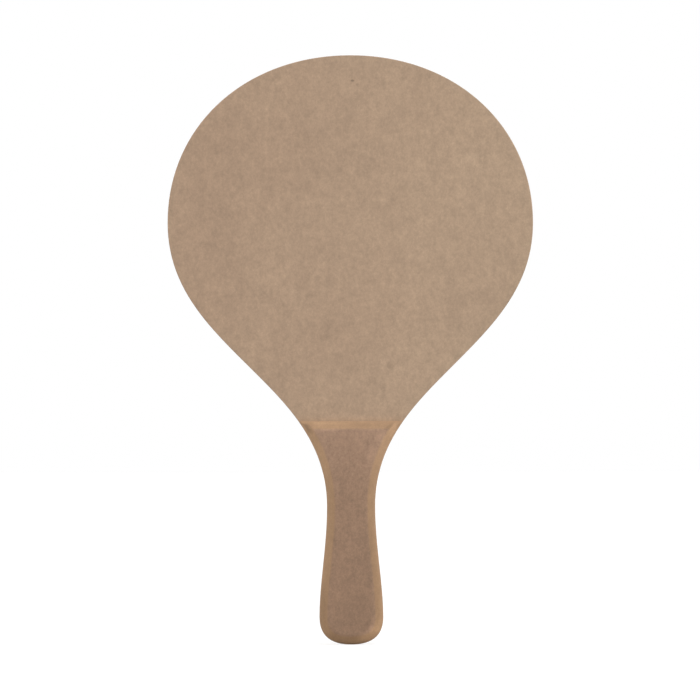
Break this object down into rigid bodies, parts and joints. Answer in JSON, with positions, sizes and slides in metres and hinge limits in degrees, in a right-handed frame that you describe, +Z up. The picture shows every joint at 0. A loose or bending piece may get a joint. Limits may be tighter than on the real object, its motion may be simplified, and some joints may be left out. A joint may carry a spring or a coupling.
{
  "type": "frescobol racket",
  "caption": "Flat beach bat with a broad rounded fibreboard blade and a waisted handle with bevelled scales, held in one hand to strike a small ball.",
  "frame": {"origin": "the middle of the grip: on the centre line, in the board's middle plane, 72 mm above the butt's end", "axes": "+Z up the racket from the grip to the crown of the blade; -Y out of the front face; +X to the right of the front"},
  "size_m": [0.2356, 0.0186, 0.38],
  "materials": {
    "blade_fibreboard": "matte",
    "handle_fibreboard": "matte",
    "wood_glue": "satin"
  },
  "bodies": {
    "root": {"blade_board": "blade_fibreboard", "front_handle_scale": "handle_fibreboard", "back_handle_scale": "handle_fibreboard", "front_glue_line": "wood_glue", "back_glue_line": "wood_glue"}
  },
  "joints": []
}
